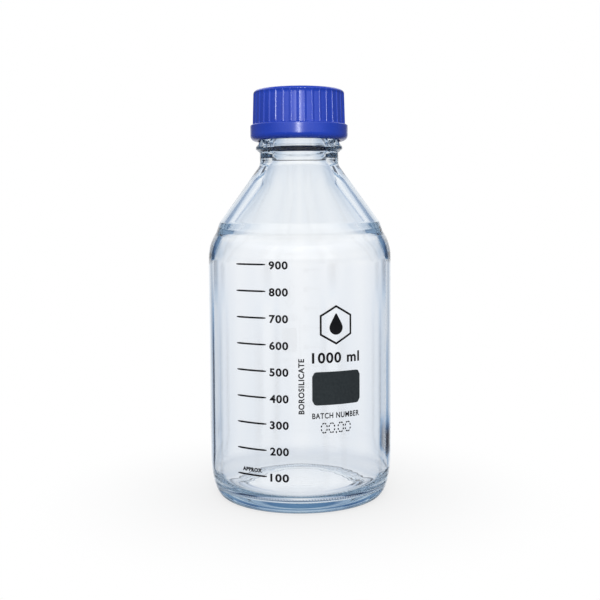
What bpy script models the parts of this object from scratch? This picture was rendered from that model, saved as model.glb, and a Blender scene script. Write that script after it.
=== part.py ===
"""Laboratory reagent bottle, 1000 ml, with a GL 45 screw cap.

The bottle stands on its base ring. The origin is the centre of that ring, +Z runs up
the bottle's axis, and the printed scale faces -Y. Sizes are in millimetres, and
MM turns them into metres where a mesh is made.
"""
import math

import bmesh
import bpy

MM = 0.001

# Driving dimensions
BODY_RADIUS = 50.5              # 101 mm diameter, the standard 1000 ml bottle
INNER_RADIUS = 48.17            # sets the distance between two graduations
LIP_HEIGHT = 218.6              # top of the glass
BORE_RADIUS = 14.7              # the mouth that liquid is poured through
THREAD_PITCH = 4.0              # GL 45 thread, right-handed
THREAD_ROOT_RADIUS = 20.6
CAP_TOP = 224.2
CAP_BOTTOM = 196.5
RIB_COUNT = 38

# Bottle, outside
LIP_RADIUS = 19.6
LIP_ROUND = 0.8
LIP_LENGTH = 4.6                # plain lip above the thread
BEAD_RADIUS = 24.0              # transfer bead below the thread
BEAD_HEIGHT = 192.7
BEAD_ROUND = 1.4
BEAD_FLANK_TOP = 198.1          # the bead's upper flank runs up to the thread
NECK_RADIUS = 21.7
NECK_TOP = 189.9
CONE_SLOPE = 0.7156             # loss of radius for each millimetre of height
CONE_RADIUS = 42.6              # the cone's radius at CONE_HEIGHT
CONE_HEIGHT = 154.2
MOULD_BAND_TOP = 151.7          # a slightly raised band where the mould halves met
MOULD_BAND_BOTTOM = 148.5
MOULD_BAND_RADIUS = 45.45       # at the bottom of the band
NECK_FILLET = 6.0
SHOULDER_START = 132.4
SHOULDER_ROUND = 25.0
SHOULDER_ANGLE = 33.0           # degrees of arc up to the mould band
HEEL_HEIGHT = 28.0
HEEL_DEPTH = 8.5
HEEL_STEPS = 10
HEEL_POWER = 2.5                # 2 would make the heel a quarter ellipse; more is squarer

# Bottle, base and inside
BASE_RING_INNER = 38.0
BASE_STEP_RADIUS = 31.0
BASE_STEP_HEIGHT = 1.5
PUNT_HEIGHT = 2.4               # rise of the underside at the centre
FLOOR_EDGE = 6.0                # inside floor, at its edge and at its centre
FLOOR_CENTRE = 7.0
INNER_HEEL_DEPTH = 10.2
INNER_HEEL_HEIGHT = 11.0
INNER_SLOPE = 0.75
INNER_CONE_RADIUS = 28.8
INNER_CONE_HEIGHT = 163.4
INNER_SHOULDER_ROUND = 26.0
INNER_NECK_ROUND = 42.0

# Thread ridges: round ropes half sunk in the neck and in the cap's wall
RIDGE_TURNS = 1.75
GLASS_RIDGE_RADIUS = 1.05
GLASS_RIDGE_CENTRE = 21.2
GLASS_RIDGE_START = 203.4
CAP_RIDGE_RADIUS = 0.9
CAP_RIDGE_CENTRE = 22.45
RIDGE_POINTS_PER_TURN = 24
RIDGE_RUN_OUT = 4               # points over which each end sinks into its wall

# Cap
CAP_WALL_INNER = 22.9
CAP_CORE_RADIUS = 24.7
CAP_RIB_RADIUS = 25.3
CAP_CEILING = 222.0
BAND_RADIUS = 26.9
BAND_TOP = 205.3
BAND_ROUND_ACROSS = 3.3         # the band's lower edge is a large rounding
BAND_ROUND_HEIGHT = 3.0
CAP_TOP_ROUND = 2.0

# Loose pieces under the cap
SEAL_RADIUS = 22.3
SEAL_BOTTOM = 220.2
SEAL_TOP = 221.7
RING_BORE_RADIUS = 13.6
RING_TOP = 219.9
RING_FLOOR = 218.9              # underside of the flange, just above the glass
RING_OUTER_RADIUS = 20.9
RING_OUTER_BOTTOM = 215.6
RING_PLUG_BOTTOM = 211.9
FIT_GAP = 0.3                   # between two pieces that touch

# Enamel print
PRINT_GAP = 0.1
PRINT_THICKNESS = 0.15
FIRST_MARK_HEIGHT = 21.0        # the 100 ml line
MARK_COUNT = 9
MARK_LINE = 0.9
MARK_START = -40.5              # degrees round from the front, towards -X
MARK_END = -20.4
FIELD_CENTRE_ANGLE = 22.1
FIELD_CENTRE_HEIGHT = 67.0
FIELD_WIDTH = 27.0
FIELD_HEIGHT = 17.2
FIELD_CORNER = 2.4

BOTTLE_SEGMENTS = 48
CAP_SEGMENTS = 76
SMALL_SEGMENTS = 40


def clear_scene():
    for item in list(bpy.data.objects):
        bpy.data.objects.remove(item, do_unlink=True)


def make_collection(name):
    group = bpy.data.collections.new(name)
    bpy.context.scene.collection.children.link(group)
    return group


def make_material(name, colour, roughness, metallic=0.0, transmission=0.0):
    material = bpy.data.materials.new(name)
    material.use_nodes = True
    material.diffuse_color = (*colour, 1.0)
    shader = material.node_tree.nodes["Principled BSDF"]
    shader.inputs["Base Color"].default_value = (*colour, 1.0)
    shader.inputs["Roughness"].default_value = roughness
    shader.inputs["Metallic"].default_value = metallic
    shader.inputs["Transmission Weight"].default_value = transmission
    return material


def arc(centre_radius, centre_height, round_radius, start, end, steps, depth=None):
    """Points of an arc in the turning plane, as (radius, height); degrees from +X."""
    across = depth or round_radius
    points = []
    for step in range(steps + 1):
        angle = math.radians(start + (end - start) * step / steps)
        points.append((centre_radius + across * math.cos(angle),
                       centre_height + round_radius * math.sin(angle)))
    return points


def fillet_start(slope, round_radius):
    """Distance from a corner to where its fillet starts, for walls at slope to the axis."""
    return round_radius * math.tan(math.atan(slope) / 2)


def shade(item):
    item.data.shade_smooth()
    item.data.set_sharp_from_angle(angle=math.radians(30))


def link_piece(name, mesh, collection, material, origin_height=0.0):
    item = bpy.data.objects.new(name, mesh)
    item.location.z = origin_height * MM
    mesh.materials.append(material)
    collection.objects.link(item)
    return item


def turned(name, profile, segments, collection, material, origin_height=0.0):
    """A solid of revolution; the profile runs down its outer side."""
    mesh = bpy.data.meshes.new(name)
    points = [(radius * MM, 0.0, (height - origin_height) * MM) for radius, height in profile]
    edges = [(index, index + 1) for index in range(len(points) - 1)]
    mesh.from_pydata(points, edges, [])
    item = link_piece(name, mesh, collection, material, origin_height)
    screw = item.modifiers.new("turn", "SCREW")
    screw.axis = "Z"
    screw.steps = segments
    screw.render_steps = segments
    screw.use_merge_vertices = True
    screw.merge_threshold = 0.00001
    return item


def closed_profile(profile):
    return profile + [profile[0]]


def curve_to_cutter(name, curve, collection, origin_height=0.0):
    """Turn a capped curve into one closed mesh object that a Boolean can use."""
    guide = bpy.data.objects.new(name + "_curve", curve)
    collection.objects.link(guide)
    guide.location.z = origin_height * MM
    bpy.context.view_layer.update()
    evaluated = guide.evaluated_get(bpy.context.evaluated_depsgraph_get())
    mesh = bpy.data.meshes.new_from_object(evaluated)
    work = bmesh.new()
    work.from_mesh(mesh)
    bmesh.ops.remove_doubles(work, verts=work.verts, dist=0.000005)
    bmesh.ops.recalc_face_normals(work, faces=work.faces)
    work.to_mesh(mesh)
    work.free()
    cutter = bpy.data.objects.new(name, mesh)
    cutter.matrix_world = guide.matrix_world.copy()
    bpy.data.objects.remove(guide, do_unlink=True)
    cutter.hide_render = True
    cutter.display_type = "WIRE"
    collection.objects.link(cutter)
    return cutter


def unite(item, other):
    joint = item.modifiers.new("with_" + other.name, "BOOLEAN")
    joint.operation = "UNION"
    joint.solver = "EXACT"
    joint.object = other


def thread_ridge(name, centre_radius, rope_radius, start_height, sink, collection, origin_height=0.0):
    """A helical rope about the axis; each end runs out by moving sideways by sink."""
    count = int(RIDGE_TURNS * RIDGE_POINTS_PER_TURN) + 1
    curve = bpy.data.curves.new(name, "CURVE")
    curve.dimensions = "3D"
    curve.bevel_depth = rope_radius * MM
    curve.bevel_resolution = 2
    curve.use_fill_caps = True
    spline = curve.splines.new("POLY")
    spline.points.add(count - 1)
    for index in range(count):
        turn = index / RIDGE_POINTS_PER_TURN
        angle = 2 * math.pi * turn
        from_end = min(index, count - 1 - index)
        run_out = max(0.0, 1.0 - from_end / RIDGE_RUN_OUT)
        radius = centre_radius + sink * run_out
        height = start_height + THREAD_PITCH * turn - origin_height
        spline.points[index].co = (radius * math.cos(angle) * MM, radius * math.sin(angle) * MM,
                                   height * MM, 1.0)
    return curve_to_cutter(name, curve, collection, origin_height)


def heel():
    """The rounding from the wall down to the base ring, a quarter of a superellipse."""
    points = []
    for step in range(HEEL_STEPS + 1):
        angle = math.pi / 2 * step / HEEL_STEPS
        across = math.cos(angle) ** (2 / HEEL_POWER) if step < HEEL_STEPS else 0.0
        points.append((BODY_RADIUS - HEEL_DEPTH * (1 - across),
                       HEEL_HEIGHT * (1 - math.sin(angle) ** (2 / HEEL_POWER))))
    return points


def outside_profile():
    """Down the outside of the glass, from the lip to the base ring."""
    points = arc(LIP_RADIUS - LIP_ROUND, LIP_HEIGHT - LIP_ROUND, LIP_ROUND, 90, 0, 3)
    thread_top = LIP_HEIGHT - LIP_LENGTH
    points += [(LIP_RADIUS, thread_top), (THREAD_ROOT_RADIUS, thread_top - 1.0)]
    points += [(THREAD_ROOT_RADIUS, BEAD_FLANK_TOP)]
    points += arc(BEAD_RADIUS - BEAD_ROUND, BEAD_HEIGHT, BEAD_ROUND, 58, -75, 5)
    points += [(NECK_RADIUS, NECK_TOP)]
    neck_meets_cone = CONE_HEIGHT + (CONE_RADIUS - NECK_RADIUS) / CONE_SLOPE
    slope_angle = math.degrees(math.atan(CONE_SLOPE))
    fillet_top = neck_meets_cone + fillet_start(CONE_SLOPE, NECK_FILLET)
    points += arc(NECK_RADIUS + NECK_FILLET, fillet_top, NECK_FILLET, 180, 180 + slope_angle, 4)
    points += [(CONE_RADIUS + CONE_SLOPE * (CONE_HEIGHT - MOULD_BAND_TOP), MOULD_BAND_TOP)]
    points += [(MOULD_BAND_RADIUS, MOULD_BAND_BOTTOM)]
    points += arc(BODY_RADIUS - SHOULDER_ROUND, SHOULDER_START, SHOULDER_ROUND, SHOULDER_ANGLE, 0, 6)
    points += heel()
    return points


def underside_profile():
    """From the base ring to the centre of the underside."""
    return [(BASE_RING_INNER, 0.0),
            (BASE_RING_INNER - 2.5, 0.9),
            (BASE_STEP_RADIUS, 1.1),
            (BASE_STEP_RADIUS - 0.8, BASE_STEP_HEIGHT + 0.2),
            (0.0, PUNT_HEIGHT)]


def inside_profile():
    """From the centre of the inside floor up to the mouth."""
    points = [(0.0, FLOOR_CENTRE)]
    points += arc(INNER_RADIUS - INNER_HEEL_DEPTH, FLOOR_EDGE + INNER_HEEL_HEIGHT,
                  INNER_HEEL_HEIGHT, -90, 0, 6, depth=INNER_HEEL_DEPTH)
    slope_angle = math.degrees(math.atan(INNER_SLOPE))
    wall_meets_cone = INNER_CONE_HEIGHT - (INNER_RADIUS - INNER_CONE_RADIUS) / INNER_SLOPE
    arc_start = wall_meets_cone - fillet_start(INNER_SLOPE, INNER_SHOULDER_ROUND)
    points += arc(INNER_RADIUS - INNER_SHOULDER_ROUND, arc_start, INNER_SHOULDER_ROUND,
                  0, slope_angle, 5)
    cone_meets_bore = INNER_CONE_HEIGHT + (INNER_CONE_RADIUS - BORE_RADIUS) / INNER_SLOPE
    arc_end = cone_meets_bore + fillet_start(INNER_SLOPE, INNER_NECK_ROUND)
    points += arc(BORE_RADIUS + INNER_NECK_ROUND, arc_end, INNER_NECK_ROUND,
                  180 + slope_angle, 180, 4)
    points += [(BORE_RADIUS, LIP_HEIGHT - LIP_ROUND), (BORE_RADIUS + LIP_ROUND, LIP_HEIGHT)]
    return points


def make_bottle(parts, cutters):
    glass = make_material("bottle_glass", (0.88, 0.93, 0.95), 0.03, transmission=1.0)
    profile = inside_profile() + outside_profile() + underside_profile()
    bottle = turned("bottle", profile, BOTTLE_SEGMENTS, parts, glass)
    ridge = thread_ridge("neck_ridge", GLASS_RIDGE_CENTRE, GLASS_RIDGE_RADIUS, GLASS_RIDGE_START,
                         -0.9, cutters)
    unite(bottle, ridge)
    shade(bottle)
    return bottle


def rib_ring(cutters):
    """A ring whose outer edge steps in and out once for each rib of the cap."""
    bottom = BAND_TOP - 0.4
    top = CAP_TOP - CAP_TOP_ROUND
    curve = bpy.data.curves.new("cap_ribs", "CURVE")
    curve.dimensions = "2D"
    curve.fill_mode = "BOTH"
    curve.extrude = (top - bottom) / 2 * MM
    pitch = 2 * math.pi / RIB_COUNT
    corners = ((-0.22, CAP_CORE_RADIUS - 0.2), (-0.12, CAP_RIB_RADIUS),
               (0.12, CAP_RIB_RADIUS), (0.22, CAP_CORE_RADIUS - 0.2))
    outer = [((rib + share) * pitch, radius) for rib in range(RIB_COUNT) for share, radius in corners]
    middle_of_wall = (CAP_WALL_INNER + CAP_CORE_RADIUS) / 2
    inner = [(2 * math.pi * step / CAP_SEGMENTS, middle_of_wall) for step in range(CAP_SEGMENTS)]
    for outline in (outer, inner):
        spline = curve.splines.new("POLY")
        spline.use_cyclic_u = True
        spline.points.add(len(outline) - 1)
        for point, (angle, radius) in zip(spline.points, outline):
            point.co = (radius * math.cos(angle) * MM, radius * math.sin(angle) * MM, 0.0, 1.0)
    return curve_to_cutter("cap_ribs", curve, cutters, (top + bottom) / 2)


def make_cap(parts, cutters):
    plastic = make_material("cap_plastic", (0.02, 0.035, 0.48), 0.38)
    profile = [(0.0, CAP_TOP)]
    profile += arc(CAP_CORE_RADIUS - CAP_TOP_ROUND, CAP_TOP - CAP_TOP_ROUND, CAP_TOP_ROUND, 90, 0, 3)
    profile += [(CAP_CORE_RADIUS, BAND_TOP + 0.3)]
    profile += [(BAND_RADIUS - 0.4, BAND_TOP), (BAND_RADIUS, BAND_TOP - 0.5)]
    profile += arc(BAND_RADIUS - BAND_ROUND_ACROSS, CAP_BOTTOM + BAND_ROUND_HEIGHT, BAND_ROUND_HEIGHT,
                   0, -90, 4, depth=BAND_ROUND_ACROSS)
    profile += [(CAP_WALL_INNER, CAP_BOTTOM + 0.7)]
    profile += [(CAP_WALL_INNER, CAP_CEILING), (0.0, CAP_CEILING)]
    cap = turned("screw_cap", profile, CAP_SEGMENTS, parts, plastic, CAP_BOTTOM)
    unite(cap, rib_ring(cutters))
    ridge_start = GLASS_RIDGE_START - THREAD_PITCH / 2
    ridge = thread_ridge("cap_ridge", CAP_RIDGE_CENTRE, CAP_RIDGE_RADIUS, ridge_start, 0.9,
                         cutters, CAP_BOTTOM)
    unite(cap, ridge)
    shade(cap)
    return cap


def make_seal(parts):
    liner = make_material("seal_liner", (0.78, 0.77, 0.74), 0.5)
    profile = [(0.0, SEAL_TOP), (SEAL_RADIUS - 0.2, SEAL_TOP), (SEAL_RADIUS, SEAL_TOP - 0.2),
               (SEAL_RADIUS, SEAL_BOTTOM + 0.2), (SEAL_RADIUS - 0.2, SEAL_BOTTOM), (0.0, SEAL_BOTTOM)]
    seal = turned("cap_seal", profile, SMALL_SEGMENTS, parts, liner, SEAL_BOTTOM)
    shade(seal)
    return seal


def make_pouring_ring(parts):
    """A drip ring that hooks over the lip, with a short plug down the bore."""
    plastic = make_material("ring_plastic", (0.03, 0.06, 0.5), 0.35)
    plug_radius = BORE_RADIUS - FIT_GAP
    skirt_inner = LIP_RADIUS + FIT_GAP
    profile = [(RING_BORE_RADIUS + 0.5, RING_TOP), (RING_OUTER_RADIUS - 0.5, RING_TOP),
               (RING_OUTER_RADIUS, RING_TOP - 0.5), (RING_OUTER_RADIUS, RING_OUTER_BOTTOM),
               (skirt_inner, RING_OUTER_BOTTOM), (skirt_inner, RING_FLOOR),
               (plug_radius, RING_FLOOR), (plug_radius, RING_PLUG_BOTTOM),
               (RING_BORE_RADIUS, RING_PLUG_BOTTOM), (RING_BORE_RADIUS, RING_TOP - 0.5)]
    ring = turned("pouring_ring", closed_profile(profile), SMALL_SEGMENTS, parts, plastic, LIP_HEIGHT)
    shade(ring)
    return ring


def wrapped_print(name, width, height, centre_angle, centre_height, corner, columns,
                  parts, enamel, bottle):
    """A thin enamel rectangle that lies round the bottle's wall."""
    radius = BODY_RADIUS + PRINT_GAP
    mesh = bpy.data.meshes.new(name)
    work = bmesh.new()
    bmesh.ops.create_grid(work, x_segments=columns, y_segments=1, size=1.0)
    for vertex in work.verts:
        across = vertex.co.x * width / 2
        past_corner = max(0.0, abs(across) - (width / 2 - corner))
        half_height = height / 2 - corner + math.sqrt(max(0.0, corner ** 2 - past_corner ** 2))
        angle = math.radians(centre_angle) + across / BODY_RADIUS
        rise = math.copysign(half_height, vertex.co.y)
        vertex.co = (radius * math.sin(angle) * MM, -radius * math.cos(angle) * MM,
                     (centre_height + rise) * MM)
    bmesh.ops.recalc_face_normals(work, faces=work.faces)
    work.to_mesh(mesh)
    work.free()
    item = link_piece(name, mesh, parts, enamel)
    skin = item.modifiers.new("thickness", "SOLIDIFY")
    skin.thickness = PRINT_THICKNESS * MM
    skin.offset = 1.0
    item.parent = bottle
    return item


def make_prints(parts, bottle):
    black = make_material("black_enamel", (0.01, 0.01, 0.012), 0.45)
    grey = make_material("grey_enamel", (0.035, 0.042, 0.046), 0.5)
    wrapped_print("marking_field", FIELD_WIDTH, FIELD_HEIGHT, FIELD_CENTRE_ANGLE,
                  FIELD_CENTRE_HEIGHT, FIELD_CORNER, 24, parts, grey, bottle)
    spacing = 100000.0 / (math.pi * INNER_RADIUS ** 2)      # height of 100 ml in the body
    line_length = math.radians(MARK_END - MARK_START) * BODY_RADIUS
    line_angle = (MARK_START + MARK_END) / 2
    for mark in range(MARK_COUNT):
        volume = 100 * (mark + 1)
        wrapped_print("graduation_%d" % volume, line_length, MARK_LINE, line_angle,
                      FIRST_MARK_HEIGHT + mark * spacing, 0.2, 10, parts, black, bottle)


def main():
    clear_scene()
    parts = make_collection("laboratory_bottle")
    cutters = make_collection("cutters")
    bottle = make_bottle(parts, cutters)
    make_pouring_ring(parts)
    make_seal(parts)
    make_cap(parts, cutters)
    make_prints(parts, bottle)


main()
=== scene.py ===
"""Looks of the 1000 ml laboratory bottle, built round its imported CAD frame.

Sizes are in millimetres until MM turns them into metres. +Z runs up the bottle's axis,
its foot is at the origin, and the printed scale faces -Y, towards the camera.
"""

import math

import bmesh
import bpy
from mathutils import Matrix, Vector


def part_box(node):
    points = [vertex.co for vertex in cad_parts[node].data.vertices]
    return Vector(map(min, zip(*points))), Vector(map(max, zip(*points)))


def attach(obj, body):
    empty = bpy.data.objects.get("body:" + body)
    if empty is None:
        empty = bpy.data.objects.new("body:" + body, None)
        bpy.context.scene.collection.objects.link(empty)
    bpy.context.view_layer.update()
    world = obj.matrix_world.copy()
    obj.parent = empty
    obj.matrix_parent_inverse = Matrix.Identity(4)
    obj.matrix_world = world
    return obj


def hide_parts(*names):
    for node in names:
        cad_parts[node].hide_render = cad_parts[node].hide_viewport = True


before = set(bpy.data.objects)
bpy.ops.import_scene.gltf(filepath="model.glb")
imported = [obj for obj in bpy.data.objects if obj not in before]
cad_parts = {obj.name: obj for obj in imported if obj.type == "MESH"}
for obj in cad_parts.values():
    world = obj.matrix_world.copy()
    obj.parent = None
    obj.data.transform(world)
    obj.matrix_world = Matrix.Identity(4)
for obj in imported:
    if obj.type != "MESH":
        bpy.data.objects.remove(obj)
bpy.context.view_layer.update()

MM = 0.001

# Places and sizes read from the CAD frame
BODY_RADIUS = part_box("bottle")[1].x / MM
LIP_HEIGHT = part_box("bottle")[1].z / MM
CAP_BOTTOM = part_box("screw_cap")[0].z / MM
CAP_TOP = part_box("screw_cap")[1].z / MM
BAND_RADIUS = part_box("screw_cap")[1].x / MM
SEAL_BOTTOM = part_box("cap_seal")[0].z / MM
SEAL_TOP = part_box("cap_seal")[1].z / MM
SEAL_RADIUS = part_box("cap_seal")[1].x / MM
RING_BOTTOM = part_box("pouring_ring")[0].z / MM
RING_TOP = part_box("pouring_ring")[1].z / MM
RING_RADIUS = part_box("pouring_ring")[1].x / MM

# Glass, outside
THREAD_PITCH = 4.0
THREAD_ROOT_RADIUS = 20.6
THREAD_TURNS = 1.75
THREAD_START = 203.4
THREAD_DEPTH = 1.65
THREAD_HALF_WIDTH = 1.35
THREAD_RUN_OUT = 0.16           # of a turn, over which each end fades into the neck
THREAD_BELOW_LIP = 1.0          # from the lip's lower edge to the thread's first ring
THREAD_RING_STEP = 0.22         # between the rings that draw the thread's section
LIP_RADIUS = 19.6
LIP_ROUND = 0.8
LIP_LENGTH = 4.6
BEAD_RADIUS = 24.0
BEAD_HEIGHT = 192.7
BEAD_ROUND = 1.4
BEAD_FLANK_TOP = 198.1
NECK_RADIUS = 21.7
NECK_TOP = 189.9
NECK_TOP_ROUND = 0.9
NECK_FILLET = 6.0
CONE_SLOPE = 0.7156
CONE_RADIUS = 42.6
CONE_HEIGHT = 154.2
MOULD_BAND_TOP = 151.7
MOULD_BAND_BOTTOM = 148.5
MOULD_BAND_RADIUS = 45.45
SHOULDER_START = 132.4
SHOULDER_ROUND = 25.0
SHOULDER_ANGLE = 33.0
HEEL_HEIGHT = 28.0
HEEL_DEPTH = 8.5
HEEL_POWER = 2.5                # 2 would make the heel a quarter ellipse; more is squarer
HEEL_SPLIT = 0.93               # share of the heel's sweep above the knurled base ring
HEEL_STEP = 0.02                # of the sweep, from there to the base ring's first point

# Glass, underside and inside
BASE_RING_INNER = 36.0
BASE_STEP_RADIUS = 31.0
BASE_STEP_HEIGHT = 1.5
PUNT_HEIGHT = 2.4
KNURL_COUNT = 160
KNURL_DEPTH = 0.45
KNURL_FADE = 4.0                # the teeth fade over one part in this of the ring's width
KNURL_REACH = 1.12              # of its width from its inner edge, where the teeth end
INNER_RADIUS = 48.17
BORE_RADIUS = 14.7
FLOOR_EDGE = 6.0
FLOOR_CENTRE = 7.0
FLOOR_FALL = ((0.0, 0.0), (10.0, 0.15), (24.0, 0.6))    # radius, and the fall from the centre
INNER_HEEL_DEPTH = 10.2
INNER_HEEL_HEIGHT = 11.0
INNER_SLOPE = 0.75
INNER_CONE_RADIUS = 28.8
INNER_CONE_HEIGHT = 163.4
INNER_SHOULDER_ROUND = 26.0
INNER_NECK_ROUND = 42.0

# Cap
RIB_COUNT = 38
RIB_SHARE = 0.26                # of each pitch that is rib, the rest is groove
RIB_PHASE = 0.14                # of a pitch, from the front to the nearest rib's crest
RIB_DEPTH = 0.5
RIB_TOP_GAP = 1.2               # from the cap's top down to where the grooves have faded out
RIB_TOP_FADE = 0.8
CAP_RIB_RADIUS = 25.6
CAP_DRAFT = 0.5                 # the grip narrows by this much towards the top
CAP_GRIP_RINGS = 12
CAP_TOP_ROUND = 2.0
GRIP_TOP = CAP_TOP - CAP_TOP_ROUND
GRIP_TOP_RADIUS = CAP_RIB_RADIUS - CAP_DRAFT
BAND_TOP = 205.3
BAND_TOP_ROUND = 0.6
BAND_ROUND_ACROSS = 3.3         # the band's lower edge is a large rounding
BAND_ROUND_HEIGHT = 3.0
CAP_DISH_RADIUS = 20.2          # the top is a shallow dish inside its rim
CAP_DISH_DEPTH = 0.35
CAP_WALL_INNER = 22.9
CAP_WALL_ROUND = 0.5
CAP_WALL_RING_STEP = 0.24
CAP_CEILING = 222.0
CAP_THREAD_DEPTH = 1.45
CAP_THREAD_HALF_WIDTH = 1.15

# Liner, with a shallow groove where the mouth presses into it
SEAL_ROUND = 0.4
SEAL_GROOVE_OUTER = 21.0
SEAL_GROOVE_INNER = 15.0
SEAL_GROOVE_SIDE = 0.4
SEAL_GROOVE_DEPTH = 0.15

# Pouring ring
RING_GAP = 0.3                  # between the ring and the glass
RING_BORE = 13.6
RING_ROUND = 0.45
RING_FOOT_ROUND = 0.3
RING_SKIRT = 3.0                # how far its skirt reaches below the top of the lip
RING_SKIRT_ROUND = 0.2

# Print; a place is degrees round the bottle from its front, and a height
PRINT_RADIUS = BODY_RADIUS + 0.12
PRINT_THICKNESS = 0.06
LETTER_SPACING = 1.12
LETTER_EXTRUDE = 0.01           # half the depth of lettering before it is scaled
MARK_COUNT = 9
MARK_VOLUME = 100               # millilitres from one mark of the scale to the next
NUMERAL_ANGLE = -12.6
NUMERAL_HEIGHT = 4.3
NUMERAL_WIDTH = 10.0
NUMERAL_WEIGHT = 0.034
NUMERAL_DROP = 0.4              # of a numeral's middle below the middle of its mark
EMBLEM_PLACE = (21.4, 99.6)
HEXAGON_OUTER = 10.2
HEXAGON_INNER = 9.0
DROP_RADIUS = 3.7
DROP_TIP = 7.4
DROP_PINCH = 0.55               # how far the drop narrows towards its tip
DROP_LOWERED = 1.4              # below the hexagon's middle
BATCH_PLACE = (21.3, 46.5)
DIGIT_SHIFTS = (-6.6, -2.5, 2.5, 6.6)       # sideways from the middle of the code
DIGIT_SQUEEZE = 0.95            # the dashes at a digit's sides stand this much closer in
DIGIT_WIDTH = 3.3
DIGIT_HEIGHT = 5.0
DIGIT_DASHES = 8
DASH_LENGTH = 1.0
DASH_WIDTH = 0.66

GLASS_SEGMENTS = 240
KNURL_SAMPLES = 6               # segments for each tooth of the knurl
CAP_SAMPLES = 12                # segments for each rib of the cap
SMALL_SEGMENTS = 144
SHARP_ANGLE = math.radians(60)  # edges of the plastic pieces past this are shaded sharp


# ---------------------------------------------------------------- profiles

def arc(centre_radius, centre_height, round_radius, start, end, steps, depth=None):
    """Points of an arc in the turning plane, as (radius, height); degrees from +X."""
    across = depth or round_radius
    points = []
    for step in range(steps + 1):
        angle = math.radians(start + (end - start) * step / steps)
        points.append((centre_radius + across * math.cos(angle),
                       centre_height + round_radius * math.sin(angle)))
    return points


def heel(start, end, steps):
    """Part of the rounding from the wall to the base ring, a quarter of a superellipse."""
    points = []
    for step in range(steps + 1):
        angle = math.pi / 2 * (start + (end - start) * step / steps)
        across = max(0.0, math.cos(angle)) ** (2 / HEEL_POWER)
        points.append((BODY_RADIUS - HEEL_DEPTH * (1 - across),
                       HEEL_HEIGHT * (1 - math.sin(angle) ** (2 / HEEL_POWER))))
    return points


def softened(points, rounds=3):
    """Cuts the corners of an open line, again and again, and keeps its ends."""
    for _ in range(rounds):
        line = [points[0]]
        for (radius, height), (next_radius, next_height) in zip(points, points[1:]):
            for share in (0.25, 0.75):
                line.append((radius + (next_radius - radius) * share,
                             height + (next_height - height) * share))
        points = line + [points[-1]]
    return points


def between(first, second, share):
    """A point on the line from one point to another."""
    return (first[0] + (second[0] - first[0]) * share, first[1] + (second[1] - first[1]) * share)


def fillet_start(slope, round_radius):
    """From the corner between an upright wall and a slope to the end of its rounding."""
    return round_radius * math.tan(math.atan(slope) / 2)


def refined(points, longest=4.0, edge=0.4):
    """Adds points to long straight stretches, close to their ends too, so shading stays true."""
    result = [points[0]]
    for (radius, height), (next_radius, next_height) in zip(points, points[1:]):
        length = math.hypot(next_radius - radius, next_height - height)
        stops = []
        if length > 4 * edge:
            count = max(1, math.ceil((length - 2 * edge) / longest))
            inner = [edge + (length - 2 * edge) * step / count for step in range(count + 1)]
            stops = [stop / length for stop in inner]
        for stop in stops + [1.0]:
            result.append((radius + (next_radius - radius) * stop,
                           height + (next_height - height) * stop))
    return result


# ---------------------------------------------------------------- mesh tools

def new_object(name, data):
    item = bpy.data.objects.new(name, data)
    bpy.context.scene.collection.objects.link(item)
    return item


def clean_up(mesh, merge_distance=0.0):
    """Merges points closer than merge_distance metres, and turns every face outwards."""
    work = bmesh.new()
    work.from_mesh(mesh)
    if merge_distance:
        bmesh.ops.remove_doubles(work, verts=work.verts, dist=merge_distance)
    bmesh.ops.recalc_face_normals(work, faces=work.faces)
    work.to_mesh(mesh)
    work.free()


def ring_points(radius, height, segments, warp=None):
    """One ring of a turned shape. warp(angle, radius, height) gives the moved radius and height."""
    points = []
    for step in range(segments):
        angle = 2 * math.pi * step / segments
        across, up = warp(angle, radius, height) if warp else (radius, height)
        points.append((across * math.cos(angle) * MM, across * math.sin(angle) * MM, up * MM))
    return points


def stitch(first, second):
    """Faces between two rings of vertex numbers, whose counts are equal or a multiple."""
    faces = []
    if len(first) == 1 or len(second) == 1:
        rim = second if len(first) == 1 else first
        for step, vertex in enumerate(rim):
            after = rim[(step + 1) % len(rim)]
            faces.append((first[0], vertex, after) if len(first) == 1 else (second[0], after, vertex))
        return faces
    if len(first) == len(second):
        count = len(first)
        for step in range(count):
            after = (step + 1) % count
            faces.append((first[step], second[step], second[after], first[after]))
        return faces
    coarse, fine = (first, second) if len(first) < len(second) else (second, first)
    share = len(fine) // len(coarse)
    flip = coarse is second
    for step in range(len(coarse)):
        after = coarse[(step + 1) % len(coarse)]
        run = [fine[(step * share + offset) % len(fine)] for offset in range(share + 1)]
        middle = share // 2
        for offset in range(share):
            apex = coarse[step] if offset < middle else after
            face = (apex, run[offset], run[offset + 1])
            faces.append(face[::-1] if flip else face)
        face = (coarse[step], run[middle], after)
        faces.append(face[::-1] if flip else face)
    return faces


def turned(name, bands, loop=False):
    """A turned mesh. bands is a list of (profile, segments, warp); they follow on from each other."""
    vertices = []
    rings = []
    for profile, segments, warp in bands:
        for radius, height in profile:
            count = 1 if radius < 1e-6 else segments
            points = ring_points(radius, height, count, warp)
            rings.append(list(range(len(vertices), len(vertices) + count)))
            vertices.extend(points)
    faces = []
    pairs = list(zip(rings, rings[1:]))
    if loop:
        pairs.append((rings[-1], rings[0]))
    for first, second in pairs:
        faces.extend(stitch(first, second))
    mesh = bpy.data.meshes.new(name)
    mesh.from_pydata(vertices, [], faces)
    clean_up(mesh)
    mesh.shade_smooth()
    return new_object(name, mesh)


def finish_piece(item, material, slot, body, *replaced):
    """Gives a piece its material, the CAD nodes it replaces, and the body it rides; slot is not used.
    """
    item.data.materials.clear()
    item.data.materials.append(material)
    if replaced:
        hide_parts(*replaced)
    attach(item, body)


def smooth_bump(distance, half_width):
    """1 on the centre line, falling smoothly to 0 at half_width."""
    if abs(distance) >= half_width:
        return 0.0
    return math.cos(math.pi * distance / (2 * half_width)) ** 2


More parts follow.
